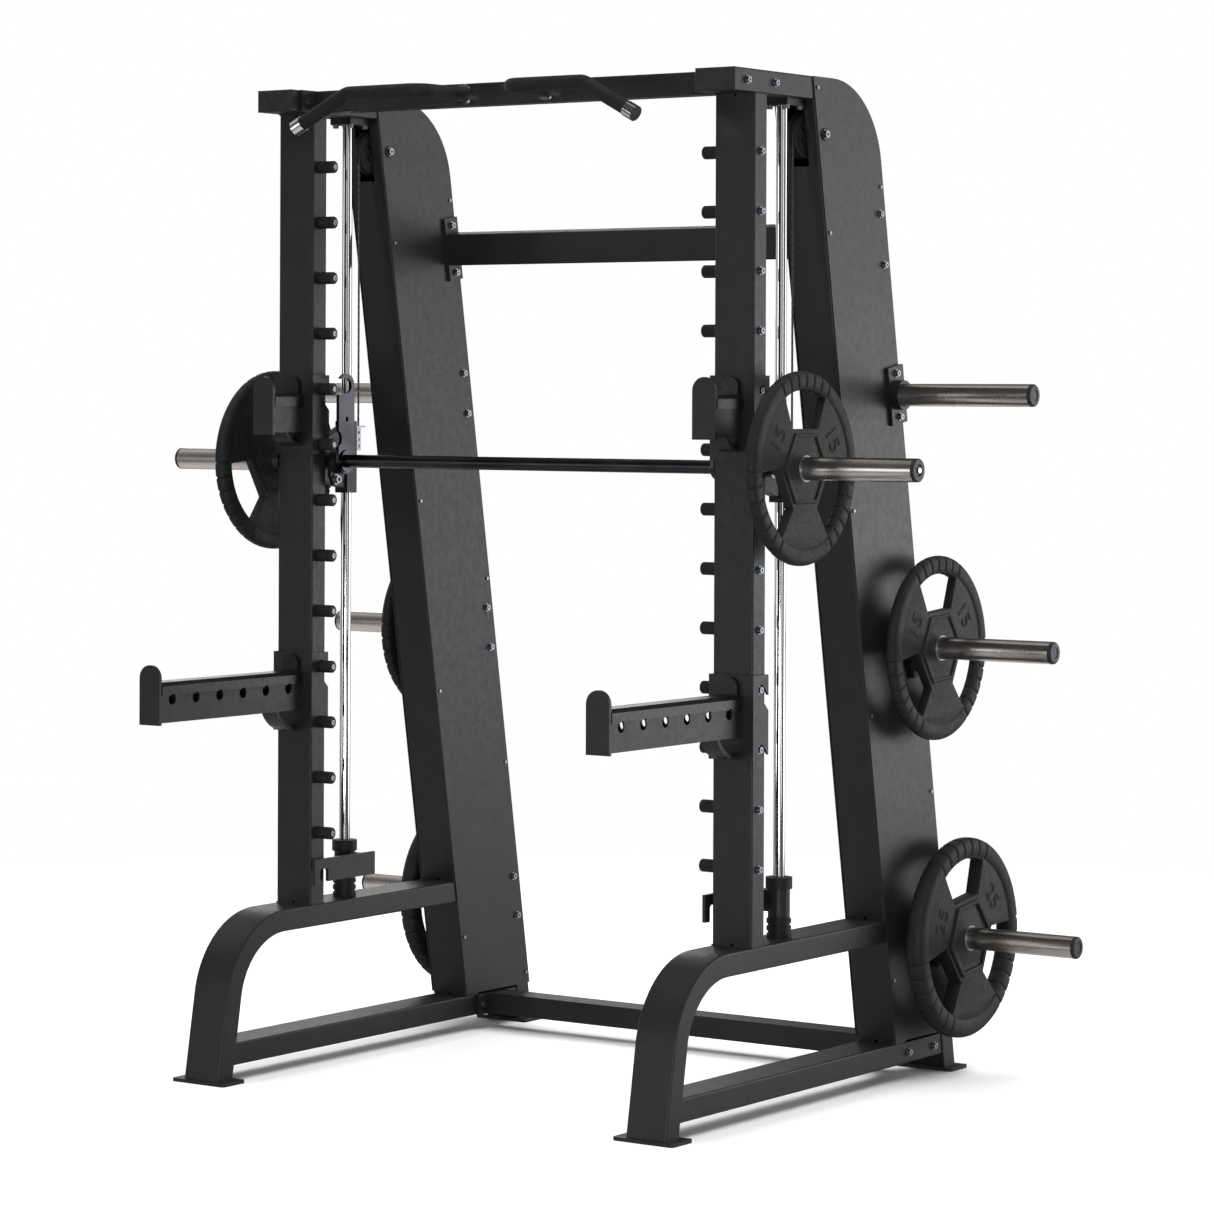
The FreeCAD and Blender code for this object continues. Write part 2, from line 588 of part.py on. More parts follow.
# ---- bar, hooks and sleeves -----------------------------------------------------
save("bar_shaft", cyl_x(BAR_R, -BAR_END_X + 2, BAR_END_X - 2, BAR_Y, BAR_Z))
hook_tip = (BAR_Y, BAR_Z + HOOK_REACH)
hook = hull_plate((BAR_Y, BAR_Z), HOOK_ROOT_R, hook_tip, HOOK_TIP_R, *HOOK_X)
throat = ring_x(HOOK_REACH + HOOK_THROAT, HOOK_REACH - HOOK_THROAT, 500, 530, BAR_Y, BAR_Z)
throat = throat.common(box(500, 530, BAR_Y - 120, BAR_Y, BAR_Z, BAR_Z + 260))
relief_a = math.radians(HOOK_SWING)
rel_y, rel_z = PIN_Y - BAR_Y, PIN_Z0 - 5 * PIN_PITCH - BAR_Z
relief = (
    BAR_Y + rel_y * math.cos(relief_a) + rel_z * math.sin(relief_a),
    BAR_Z - rel_y * math.sin(relief_a) + rel_z * math.cos(relief_a),
)
hook = hook.fuse(cyl_x(HOOK_HUB_R, HOOK_X[0] - 4, HOOK_X[1] + 4, BAR_Y, BAR_Z)).cut([
    throat,
    cyl_x(HOOK_THROAT, 500, 530, *hook_tip),
    cyl_x(HOOK_RELIEF_R, 500, 530, *relief),
    cyl_x(6.0, 500, 530, BAR_Y, BAR_Z + HOOK_HOLE),
    cyl_x(BAR_R, 500, 530, BAR_Y, BAR_Z),
])
save("bar_hooks", *both([hook.removeSplitter()]))
save("bar_sleeves", *both([ring_x(SLEEVE_R, BAR_R, SLEEVE_X, BAR_END_X, BAR_Y, BAR_Z)]))
collars = [
    ring_x(34.0, BAR_R, SLEEVE_X - 18, SLEEVE_X, BAR_Y, BAR_Z),
    ring_x(22.0, BAR_R, 657, 668, BAR_Y, BAR_Z),
    cyl_x(SLEEVE_SCREW_R, BAR_END_X + CAP_END_T - 3, BAR_END_X + CAP_END_T + 2, BAR_Y, BAR_Z).cut(
        hex_x(SLEEVE_SCREW_R, BAR_END_X + CAP_END_T, BAR_END_X + CAP_END_T + 3, BAR_Y, BAR_Z)),
]
save("sleeve_collars", *both(collars))
cap = cyl_x(SLEEVE_R, BAR_END_X, BAR_END_X + CAP_END_T, BAR_Y, BAR_Z)
cap = cap.makeFillet(3.0, [e for e in cap.Edges if e.BoundBox.XMin > BAR_END_X + 1])
cap = cap.cut(cyl_x(CAP_RECESS_R, BAR_END_X + CAP_END_T - 3, BAR_END_X + CAP_END_T + 1, BAR_Y, BAR_Z))
save("sleeve_caps", *both([cap]))


# ---- weight plates ---------------------------------------------------------------
def weight_plate(x0, mid, radius, thick, rim_w, hub_flat, turn):
    """Rubber plate with a rounded rim, a web, a six-sided hub and three hand windows."""
    y, z = mid
    rim_r = radius - rim_w / 2
    web = cyl_x(rim_r, x0 + thick * 0.12, x0 + thick * 0.86, y, z)
    rim_x0, rim_x1 = x0 + thick * 0.01, x0 + thick * 0.95
    rim = ring_x(radius, radius - rim_w, rim_x0, rim_x1, y, z)
    circles = [e for e in rim.Edges if e.BoundBox.XLength < 0.1]
    rim = rim.makeFillet(min(rim_x1 - rim_x0, rim_w) * 0.4, circles)
    hub = hex_x(hub_flat, x0, x0 + thick, y, z, turn)
    plate = web.fuse([rim, hub]).removeSplitter()
    cuts = [cyl_x(PLATE_BORE_R, x0 - 1, x0 + thick + 1, y, z)]
    in_r, in_w, out_w, out_r = hub_flat * 0.56, hub_flat / 3, hub_flat * 0.527, radius - rim_w
    top = math.sqrt(out_r * out_r - out_w * out_w)
    for i in range(3):
        window = yz_plate([(y - in_w, z + in_r), (y + in_w, z + in_r), (y + out_w, z + top),
                           (y, z + out_r), (y - out_w, z + top)], x0 - 1, x0 + thick + 1)
        window.rotate(V(0, y, z), X_AXIS, turn + 120 * i)
        cuts.append(window)
    return plate.cut(cuts)


bar_mid = (BAR_Y, BAR_Z)
PLATE_15 = (PLATE_R15, 30.0, 41.0, 150.0)
PLATE_25 = (PLATE_R25, 46.0, 48.0, 160.0)
save_pair("bar_plate", weight_plate(SLEEVE_X + 0.5, bar_mid, *PLATE_15, 0.0))
save_pair("middle_horn_plate", weight_plate(692.0, horn_mids[1], *PLATE_15, 4.5))
save_pair("lower_horn_plate", weight_plate(690.0, horn_mids[2], *PLATE_25, 8.5))

# ---- pulleys, cables and counterweights ----------------------------------------------
profile = [
    (-11.0, 6.06), (-11.0, PULLEY_R), (-7.5, PULLEY_R), (-3.0, CABLE_LOOP_R - CABLE_R - GAP),
    (3.0, CABLE_LOOP_R - CABLE_R - GAP), (7.5, PULLEY_R), (11.0, PULLEY_R), (11.0, 6.06),
]
corners = [V(SIDE_X + x, PULLEY_Y + r, PULLEY_Z) for x, r in profile]
pulley = Part.Face(Part.makePolygon(corners + corners[:1]))
pulley = pulley.revolve(V(0, PULLEY_Y, PULLEY_Z), X_AXIS, 360)
lightening = []
for i in range(5):
    a = math.radians(72 * i)
    lightening.append((PULLEY_Y + 26 * math.cos(a), PULLEY_Z + 26 * math.sin(a)))
save_pair("pulley", pulley.cut(holes_x(lightening, 500, 700, 8.0)))

front_run = cyl_z(CABLE_R, 1440, PULLEY_Z, SIDE_X, CABLE_Y)
save("cables_front", *both([front_run]))
off = V(0, COS, SIN) * CABLE_LOOP_R
rear_start = V(SIDE_X, PULLEY_Y, PULLEY_Z) + off
drop = (rear_start.z - WEIGHT_TOP) / COS
rear_end = rear_start + V(0, SIN, -COS) * (drop - 1)
arc = Part.Arc(
    V(SIDE_X, CABLE_Y, PULLEY_Z),
    V(SIDE_X, PULLEY_Y, PULLEY_Z) + V(0, COS - 1, SIN).normalize() * CABLE_LOOP_R,
    rear_start,
).toShape()
path = Part.Wire([arc, Part.makeLine(rear_start, rear_end)])
section = Part.Wire(Part.makeCircle(CABLE_R, V(SIDE_X, CABLE_Y, PULLEY_Z), Z_AXIS))
save("cables_rear", *both([path.makePipeShell([section], True, True)]))

cable_q = (rear_end.y - column_y(rear_end.z)) * COS
t_top = (rear_end.z - cable_q * SIN) / COS
weight = column_box(SIDE_X - 38, SIDE_X + 38, TUBE_D + 4, TUBE_D + 104, t_top - WEIGHT_LEN, t_top)
save_pair("counterweight", weight)


# ---- attachments hanging on the rack pins ------------------------------------------
def slots(pin_z, x0, x1, radius):
    """Slots running down and back from two neighbouring pins to the rear edge."""
    cuts = []
    for z in (pin_z, pin_z - PIN_PITCH):
        run = box(x0, x1, 0, 90, -radius, radius)
        run.rotate(V(0, 0, 0), X_AXIS, -45)
        run.translate(V(0, PIN_Y, z))
        cuts += [run, cyl_x(radius, x0, x1, PIN_Y, z)]
    return cuts


def lip(front, width, pin_z, thick):
    r = width / 2
    z0, z1 = pin_z - ARM_BOTTOM - 5, pin_z + 28
    plate = box(SIDE_X - r, SIDE_X + r, front, front + thick, z0, z1 - r)
    return plate.fuse(cyl(r, V(SIDE_X, front, z1 - r), V(SIDE_X, front + thick, z1 - r))).removeSplitter()


def gusset(front, drop, pin_z):
    """Quarter-round strap under the arm, reaching drop below it where it meets the bracket."""
    top = pin_z - ARM_BOTTOM
    edges = []
    for a, b in ((0.0, 0.0), (8.0, 6.0)):
        p = V(SIDE_X - 22, front + a, top)
        m = V(SIDE_X - 22, front * 0.72 + a * 0.8, top - drop * 0.7 + b)
        q = V(SIDE_X - 22, -SHELL_GAP - SHELL_T, top - drop + b)
        edges.append(Part.Arc(p, m, q).toShape())
    edges.append(Part.makeLine(edges[0].Vertexes[0].Point, edges[1].Vertexes[0].Point))
    edges.append(Part.makeLine(edges[0].Vertexes[-1].Point, edges[1].Vertexes[-1].Point))
    face = Part.Face(Part.Wire(Part.__sortEdges__(edges)))
    return face.extrude(V(44, 0, 0))


def attachment(front, pin, strap, hole_at):
    """Steel and liner of a J-hook (short) or a spotter arm (long)."""
    pin_z = PIN_Z0 - pin * PIN_PITCH
    z0, z1 = pin_z - ATTACH_DOWN, pin_z + ATTACH_UP
    face = -SHELL_GAP - SHELL_T
    shell = box(IN_X + face, OUT_X - face, face, TUBE_D + 3, z0, z1)
    shell = shell.cut(box(IN_X - SHELL_GAP, OUT_X + SHELL_GAP, -SHELL_GAP, 60, z0 - 1, z1 + 1))
    shell = shell.cut(slots(pin_z, IN_X - 10, IN_X + 10, SLOT_R))
    shell = shell.cut(slots(pin_z, OUT_X - 10, OUT_X + 10, 11.6))
    arm_z0, arm_z1 = pin_z - ARM_BOTTOM, pin_z - ARM_TOP
    x0, x1 = SIDE_X - ARM_W / 2, SIDE_X + ARM_W / 2
    arm = box(x0, x1, front + 8, face, arm_z0, arm_z1)
    arm = arm.cut(box(x0 + 4, x1 - 4, front + 8, face, arm_z0 + 4, arm_z1 - 4))
    pieces = [arm, lip(front, LIP_W, pin_z, 8.0), gusset(*strap, pin_z)]
    steel = max(shell.Solids, key=lambda s: s.Volume).fuse(pieces).removeSplitter()
    liner = box(x0 - 3.5, x1 + 3.5, front + 8, face, pin_z - 39, pin_z - LINER_TOP)
    top = pin_z - LINER_TOP
    upper = [e for e in liner.Edges if e.BoundBox.XLength < 0.1 and e.BoundBox.ZMin > top - 1]
    liner = liner.makeChamfer(LINER_CHAMFER, upper)
    liner = liner.cut(box(x0, x1, front, 0, pin_z - 50, arm_z1))
    ear = box(SIDE_X - 22, SIDE_X + 22, -17, face, pin_z - LINER_TOP, pin_z + 6)
    ear = ear.fuse(cyl(22.0, V(SIDE_X, -17, pin_z + 6), V(SIDE_X, face, pin_z + 6)))
    liner = liner.fuse(ear).removeSplitter()
    for y in hole_at:
        hole = cyl_x(ARM_HOLE_R, 500, 700, y, pin_z - ARM_HOLE_DOWN)
        steel = steel.cut(hole)
        liner = liner.cut(hole)
    return steel, liner


steel, liner = attachment(JHOOK_FRONT, JHOOK_PIN, JHOOK_STRAP, [])
save_pair("jhook", steel)
save_pair("jhook_liner", liner)
steel, liner = attachment(SPOTTER_FRONT, SPOTTER_PIN, SPOTTER_STRAP, SPOTTER_HOLES)
save_pair("spotter_arm", steel)
save_pair("spotter_liner", liner)

# ---- safety stops ------------------------------------------------------------------
STOP_Z = (BUMPER_TOP + 0.5, 474.0)
plate_outline = [
    (-8, 474), (-8, 415), (10, 415), (10, 451), (40, 451), (40, 421), (212, 421), (212, 474),
]
arm = yz_plate(plate_outline, 530, 538)
arm = arm.makeFillet(8.0, [
    e for e in arm.Edges
    if e.BoundBox.ZLength < 0.1 and e.BoundBox.YLength < 0.1 and e.BoundBox.ZMax < 460
    and e.BoundBox.ZMax > 445
])
bridge = box(538, SIDE_X, ROD_Y - 14, ROD_Y + 14, 424, 470)
stop = cyl_z(24.0, *STOP_Z, SIDE_X, ROD_Y).fuse([bridge, arm]).removeSplitter()
save_pair("safety_stop", stop.cut(cyl_z(ROD_R + RUN, 400, 480, SIDE_X, ROD_Y)))
save_pair("stop_ring", ring_z(29.0, ROD_R + 0.5, STOP_Z[1], STOP_Z[1] + 25, SIDE_X, ROD_Y))
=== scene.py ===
import json
import math

import bmesh
import bpy
from mathutils import Matrix, Vector


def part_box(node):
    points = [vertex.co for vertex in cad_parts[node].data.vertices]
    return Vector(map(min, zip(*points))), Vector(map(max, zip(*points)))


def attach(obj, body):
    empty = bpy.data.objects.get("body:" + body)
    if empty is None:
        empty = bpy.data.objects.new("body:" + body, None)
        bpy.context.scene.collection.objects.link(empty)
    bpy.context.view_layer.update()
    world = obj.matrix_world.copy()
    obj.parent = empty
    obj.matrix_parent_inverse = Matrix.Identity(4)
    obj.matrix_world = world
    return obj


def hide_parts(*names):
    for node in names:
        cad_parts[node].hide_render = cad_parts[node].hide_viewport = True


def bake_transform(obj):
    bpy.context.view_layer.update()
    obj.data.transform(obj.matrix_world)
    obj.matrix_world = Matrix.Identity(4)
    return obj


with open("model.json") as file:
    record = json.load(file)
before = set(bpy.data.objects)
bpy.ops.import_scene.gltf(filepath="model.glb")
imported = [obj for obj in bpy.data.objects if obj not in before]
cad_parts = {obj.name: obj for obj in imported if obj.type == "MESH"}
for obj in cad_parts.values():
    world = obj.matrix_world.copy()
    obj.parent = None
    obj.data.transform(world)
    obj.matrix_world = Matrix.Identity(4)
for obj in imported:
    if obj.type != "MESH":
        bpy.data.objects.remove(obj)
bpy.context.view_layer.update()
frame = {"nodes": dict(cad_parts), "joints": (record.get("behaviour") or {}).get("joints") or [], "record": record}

MM = 0.001
SIDES = {"left": -1, "right": 1}


def middle(node):
    lo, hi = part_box(node)
    return (lo + hi) / 2


# ---- places that the rest is worked out from, read from the frame -----------------------
UPRIGHT_LO, UPRIGHT_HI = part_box("upright_right")
SIDE_X = (UPRIGHT_LO.x + UPRIGHT_HI.x) / 2
IN_X, OUT_X = UPRIGHT_LO.x, UPRIGHT_HI.x
FRONT_Y, BACK_Y = UPRIGHT_LO.y, UPRIGHT_HI.y
FOOT_Z, TOP_Z = UPRIGHT_LO.z, UPRIGHT_HI.z
JOINTS = {j["name"]: j for j in frame["joints"]}


# ---- materials ------------------------------------------------------------------------
class Shader:
    """A Principled material with its colour, roughness and bump worked out from object space.

    Noise scales are in cells per metre, and a detail is a number of octaves.
    """

    def __init__(self, name, **sockets):
        self.material = bpy.data.materials.new(name)
        self.material.use_nodes = True
        self.tree = self.material.node_tree
        self.bsdf = self.tree.nodes["Principled BSDF"]
        self.coordinates = self.node("ShaderNodeTexCoord").outputs["Object"]
        for socket, value in sockets.items():
            self.bsdf.inputs[socket.replace("_", " ")].default_value = value

    def node(self, kind, **settings):
        made = self.tree.nodes.new(kind)
        for key, value in settings.items():
            setattr(made, key, value)
        return made

    def link(self, a, b):
        self.tree.links.new(a, b)

    def noise(self, scale, detail=3.0, stretch=(1, 1, 1)):
        mapping = self.node("ShaderNodeMapping")
        mapping.inputs["Scale"].default_value = stretch
        self.link(self.coordinates, mapping.inputs["Vector"])
        noise = self.node("ShaderNodeTexNoise")
        noise.inputs["Scale"].default_value = scale
        noise.inputs["Detail"].default_value = detail
        self.link(mapping.outputs["Vector"], noise.inputs["Vector"])
        return noise.outputs["Fac"]

    def spread(self, value, low, high, start=0.3, end=0.7):
        """VALUE from START to END becomes LOW to HIGH."""
        node = self.node("ShaderNodeMapRange")
        for key, number in (("From Min", start), ("From Max", end), ("To Min", low), ("To Max", high)):
            node.inputs[key].default_value = number
        self.link(value, node.inputs["Value"])
        return node.outputs["Result"]

    def colour(self, value, dark, light):
        mix = self.node("ShaderNodeMix", data_type="RGBA")
        self.link(self.spread(value, 0.0, 1.0), mix.inputs["Factor"])
        mix.inputs["A"].default_value = (*dark, 1)
        mix.inputs["B"].default_value = (*light, 1)
        self.link(mix.outputs["Result"], self.bsdf.inputs["Base Color"])

    def roughness(self, value, low, high):
        self.link(self.spread(value, low, high), self.bsdf.inputs["Roughness"])

    def bump(self, *layers):
        """Each layer is (value, distance in mm); they add up."""
        normal = None
        for value, distance in layers:
            bump = self.node("ShaderNodeBump")
            bump.inputs["Strength"].default_value = 1.0
            bump.inputs["Distance"].default_value = distance * MM
            self.link(value, bump.inputs["Height"])
            if normal:
                self.link(normal, bump.inputs["Normal"])
            normal = bump.outputs["Normal"]
        self.link(normal, self.bsdf.inputs["Normal"])


def powder_coat(name, dark, light):
    s = Shader(name, Specular_IOR_Level=0.28)
    fine = s.noise(1500, 2.0)
    s.colour(s.noise(14, 4.0), dark, light)
    s.roughness(s.noise(60, 3.0), 0.38, 0.46)
    s.bump((fine, 0.04), (s.noise(300, 2.0), 0.03))
    return s.material


def chrome():
    s = Shader("chrome", Metallic=1.0)
    s.colour(s.noise(30), (0.66, 0.67, 0.68), (0.72, 0.72, 0.73))
    s.roughness(s.noise(18, 2.0), 0.05, 0.08)
    return s.material


def turned_steel(name, dark, light, rough):
    """Turned and polished steel, with slow changes of tone and polish."""
    s = Shader(name, Metallic=1.0)
    s.colour(s.noise(9, 1.0), dark, light)
    s.roughness(s.noise(12, 1.0), *rough)
    return s.material


def zinc():
    s = Shader("zinc", Metallic=1.0)
    s.colour(s.noise(400), (0.15, 0.16, 0.175), (0.27, 0.28, 0.30))
    s.roughness(s.noise(700), 0.34, 0.46)
    s.bump((s.noise(1200), 0.01))
    return s.material


def moulded(name, dark, light, rough, grain=0.06, scale=900):
    """Rubber or plastic with a moulded grain, GRAIN deep in mm."""
    s = Shader(name, Specular_IOR_Level=0.22)
    s.colour(s.noise(45, 5.0), dark, light)
    s.roughness(s.noise(120, 4.0), *rough)
    s.bump((s.noise(scale, 2.0), grain), (s.noise(90, 4.0), grain * 3))
    return s.material


def cable_sheath():
    s = Shader("cable_sheath")
    s.colour(s.noise(300), (0.012, 0.012, 0.013), (0.03, 0.03, 0.032))
    s.roughness(s.noise(500), 0.3, 0.5)
    s.bump((s.noise(700), 0.02))
    return s.material


MATERIALS = {
    "frame_paint": powder_coat("frame_paint", (0.0100, 0.0093, 0.0102), (0.0131, 0.0122, 0.0134)),
    "panel_paint": powder_coat("panel_paint", (0.0115, 0.0115, 0.012), (0.0145, 0.0145, 0.015)),
    "carriage_black": powder_coat("carriage_black", (0.006, 0.006, 0.0065), (0.009, 0.009, 0.0095)),
    "chrome": chrome(),
    "stainless": turned_steel("stainless", (0.60, 0.56, 0.52), (0.67, 0.63, 0.59), (0.24, 0.30)),
    "zinc": zinc(),
    "bar_black": turned_steel("bar_black", (0.030, 0.030, 0.034), (0.050, 0.050, 0.055), (0.25, 0.4)),
    "black_rubber": moulded("black_rubber", (0.006, 0.006, 0.0065), (0.010, 0.010, 0.0105), (0.5, 0.62)),
    "plate_rubber": moulded(
        "plate_rubber", (0.008, 0.0083, 0.0085), (0.0125, 0.013, 0.013), (0.52, 0.66), 0.07, 700),
    "black_plastic": moulded("black_plastic", (0.012, 0.012, 0.013), (0.02, 0.02, 0.021), (0.35, 0.5), 0.03),
    "liner_plastic": moulded(
        "liner_plastic", (0.004, 0.004, 0.0045), (0.007, 0.007, 0.0075), (0.26, 0.36), 0.015),
    "pulley_plastic": moulded("pulley_plastic", (0.02, 0.02, 0.02), (0.03, 0.03, 0.03), (0.35, 0.5), 0.03),
    "cable_steel": cable_sheath(),
    "cast_weight": moulded("cast_weight", (0.03, 0.03, 0.03), (0.06, 0.06, 0.06), (0.5, 0.7), 0.2, 300),
}
EDGE_RADIUS = {"carriage_black": 1.0 * MM, "liner_plastic": 1.2 * MM}


# ---- finishing meshes ------------------------------------------------------------------
SHARP_DEGREES = 32.0
SHARP_DEGREES_ROUNDED = 60
CORNER_DEGREES = 40


def shade(mesh, degrees):
    """Smooth shading, with edges left sharp where the faces turn by more than DEGREES."""
    mesh.polygons.foreach_set("use_smooth", [True] * len(mesh.polygons))
    mesh.set_sharp_from_angle(angle=math.radians(degrees))


def soften(obj, radius):
    """Rounded edges on a CAD node, as modifiers that leave its own mesh as it is."""
    weld = obj.modifiers.new("join", "WELD")
    weld.merge_threshold = 1e-5
    bevel = obj.modifiers.new("round", "BEVEL")
    bevel.width = radius
    bevel.segments = 2
    bevel.limit_method = "ANGLE"
    bevel.angle_limit = math.radians(CORNER_DEGREES)
    bevel.use_clamp_overlap = True
    flat = obj.modifiers.new("flat_faces", "WEIGHTED_NORMAL")
    flat.keep_sharp = True
    flat.weight = 100


def dress_frame():
    """Gives every CAD node its material, and rounds the edges of some."""
    for part in frame["record"]["subparts"]:
        obj, slot = frame["nodes"][part["node"]], part["material_slot"]
        obj.data.materials.clear()
        obj.data.materials.append(MATERIALS[slot])
        if slot in EDGE_RADIUS:
            obj.data.attributes.remove(obj.data.attributes["custom_normal"])
            shade(obj.data, SHARP_DEGREES_ROUNDED)
            soften(obj, EDGE_RADIUS[slot])


def piece(name, bm, body, slot, replaces=(), degrees=SHARP_DEGREES):
    """Turns a bmesh in the shared frame into a finished piece, which rides on BODY if one is given."""
    mesh = bpy.data.meshes.new(name)
    bmesh.ops.recalc_face_normals(bm, faces=bm.faces)
    bm.to_mesh(mesh)
    bm.free()
    mesh.materials.append(MATERIALS[slot])
    shade(mesh, degrees)
    obj = bpy.data.objects.new(name, mesh)
    bpy.context.scene.collection.objects.link(obj)
    if replaces:
        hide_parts(*replaces)
    if body:
        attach(obj, body)
    return obj


def loft(bm, rings, loop=False):
    """Joins rings of equal length, each a closed loop of points, into a skin without openings.

    The last ring is joined to the first if LOOP is set, and otherwise both ends get a flat cap.
    """
    made = [[bm.verts.new(p) for p in ring] for ring in rings]
    pairs = list(zip(made, made[1:]))
    if loop:
        pairs.append((made[-1], made[0]))
    for a, b in pairs:
        for i in range(len(a)):
            j = (i + 1) % len(a)
            bm.faces.new((a[i], a[j], b[j], b[i]))
    if not loop:
        bm.faces.new(made[0])
        bm.faces.new(list(reversed(made[-1])))


def skin(rings, loop=False):
    """The skin through RINGS, as a bmesh of its own."""
    bm = bmesh.new()
    loft(bm, rings, loop)
    return bm


def turn_angles(count):
    """COUNT equal steps of a full turn, in radians."""
    return [math.tau * k / count for k in range(count)]


# ---- weight plates ----------------------------------------------------------------------
BORE_R = 28.5 * MM           # through the web
HUB_BORE_R = 29.2 * MM       # through the hub
RIM_SHARE, WEB_SHARE = 0.48, 0.37    # half thickness, as a share of the plate's thickness
RIM_POINTS, RIM_POWER = 28, 2.7      # the rim's section is a superellipse
RIM_STEPS = 120
GROOVE_RINGS = (-1.6, -1.0, -0.6, -0.3, 0.0, 0.3, 0.6, 1.0, 1.6)   # degrees from each groove
GROOVE_DEPTH = 2.6 * MM
GROOVE_PITCH, GROOVE_WIDTH = 9.5, 0.75   # degrees round the rim
HUB_POINTS = 72
INSERT_POINTS = 64
FIGURE_HEIGHT, FIGURE_STROKE = 56 * MM, 1.4 * MM
FIGURE_DEGREES = (30, 150)


class Plate:
    """One rubber weight plate, with its axis along X.

    OUT is the side that it is on (+1 or -1), TURN its degrees round its axis, and HUB_FLAT the
    width of its six-sided hub across the flats.
    """

    def __init__(self, node, body, out, turn, number, rim_w, hub_flat):
        lo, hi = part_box(node)
        self.node, self.body, self.out = node, body, out
        self.mid = (lo + hi) / 2
        self.radius = (hi.z - lo.z) / 2
        self.thick = hi.x - lo.x
        self.turn = math.radians(turn) * out
        self.number, self.rim_w, self.hub_flat = number, rim_w, hub_flat
        self.rim_in = self.radius - rim_w

    def at(self, radius, angle, x):
        """A point of the plate. X counts from the middle of the thickness, outwards."""
        return Vector((
            self.mid.x + x * self.out,
            self.mid.y + radius * math.cos(angle),
            self.mid.z + radius * math.sin(angle),
        ))

    def window_angles(self):
        """Three windows, the first one at the top of an unturned plate."""
        return [math.radians(90 + 120 * i) + self.turn for i in range(3)]

    def grooves(self):
        """Angles of the grip grooves, seven round the rim by each window."""
        return [a + math.radians(GROOVE_PITCH * k) for a in self.window_angles() for k in range(-3, 4)]

    def rim(self):
        """The rounded rim, pinched at the grip grooves, with more rings close to each of them."""
        grooves = self.grooves()
        angles = {round(math.radians(360 / RIM_STEPS * i), 5) for i in range(RIM_STEPS)}
        for g in grooves:
            for step in GROOVE_RINGS:
                angles.add(round((g + math.radians(step)) % math.tau, 5))
        half_r, half_x = self.rim_w / 2, self.thick * RIM_SHARE
        centre_r = self.radius - half_r
        power = 2 / RIM_POWER
        rings = []
        for a in sorted(angles):
            near = min(abs((a - g + math.pi) % math.tau - math.pi) for g in grooves)
            pinch = GROOVE_DEPTH * math.exp(-(near / math.radians(GROOVE_WIDTH)) ** 2)
            ring = []
            for t in turn_angles(RIM_POINTS):
                c, s = math.cos(t), math.sin(t)
                u = math.copysign(abs(c) ** power, c)
                v = math.copysign(abs(s) ** power, s)
                ring.append(self.at(centre_r + (half_r - pinch) * u, a, (half_x - pinch) * v))
            rings.append(ring)
        return skin(rings, loop=True)

    def window(self, angle):
        """Outline of one hand window as flat (y, z) pairs, straight inside and round at the rim."""
        flat, out_r, arc_steps = self.hub_flat, self.rim_in + 3 * MM, 12
        in_r, in_w, out_w = flat * 0.56, flat / 3, flat * 0.527
        top = math.sqrt(out_r ** 2 - out_w ** 2)
        points = [(-in_w, in_r), (in_w, in_r), (out_w, top)]
        swing = math.atan2(out_w, top)
        for k in range(1, arc_steps):
            a = swing - 2 * swing * k / arc_steps
            points.append((out_r * math.sin(a), out_r * math.cos(a)))
        points.append((-out_w, top))
        turn = angle - math.pi / 2
        return [
            (x * math.cos(turn) - z * math.sin(turn), x * math.sin(turn) + z * math.cos(turn))
            for x, z in points
        ]

    def web(self):
        """The flat web with its three windows and its bore, edges rounded. It runs on into the rim."""
        curve = bpy.data.curves.new(self.node + "_web", "CURVE")
        curve.dimensions, curve.fill_mode = "2D", "BOTH"
        half, edge = self.thick * WEB_SHARE, 2.0 * MM
        curve.extrude, curve.bevel_depth = half - edge, edge
        curve.offset, curve.bevel_resolution = -edge, 2
        outer = self.rim_in + 9 * MM
        turns = [math.radians(4 * i) for i in range(90)]
        loops = [[(r * math.cos(a), r * math.sin(a)) for a in turns] for r in (outer, BORE_R)]
        loops += [self.window(a) for a in self.window_angles()]
        for points in loops:
            spline = curve.splines.new("POLY")
            spline.points.add(len(points) - 1)
            for target, (a, b) in zip(spline.points, points):
                target.co = (a, b, 0, 1)
            spline.use_cyclic_u = True
        bm = bmesh.new()
        bm.from_mesh(curve_mesh(curve))
        bmesh.ops.remove_doubles(bm, verts=bm.verts, dist=1e-6)
        for v in bm.verts:
            a, b, c = v.co
            v.co = (self.mid.x + c, self.mid.y + a, self.mid.z + b)
        return bm

    def hub(self):
        """The six-sided hub with its bore: each face slopes from the bore down to the foot of a
        raised, stepped edge.

        The bore's rings are joined to the outer ends of the steps, and the inner ends to each other
        through the hub, so the skin crosses itself under the faces.
        """
        half = self.thick / 2
        # (share of the hub's width, x), from its side over its edge to the inside
        steps = [(1.0, half * 0.6), (1.0, half - 2.2 * MM), (0.975, half - 0.4 * MM), (0.955, half),
                 (0.925, half), (0.905, half - 0.9 * MM), (0.885, half - 1.0 * MM)]
        front, back = (
            [self.hexagon(self.hub_flat / 2 * scale, x * face) for scale, x in steps] for face in (1, -1))
        bore_front, bore_back = (
            [self.at(HUB_BORE_R, a + self.turn, x) for a in turn_angles(HUB_POINTS)]
            for x in (half - 1.0 * MM, -half + 1.0 * MM))
        return skin([bore_back, *back, *reversed(front), bore_front], loop=True)

    def hexagon(self, flat, x):
        """A ring of points on a hexagon, FLAT from the axis to the middle of each side."""
        return [
            self.at(flat / math.cos((a % (math.pi / 3)) - math.pi / 6), a + self.turn, x)
            for a in turn_angles(HUB_POINTS)
        ]

    def insert(self):
        """The steel ring that lines the bore."""
        half = self.thick / 2
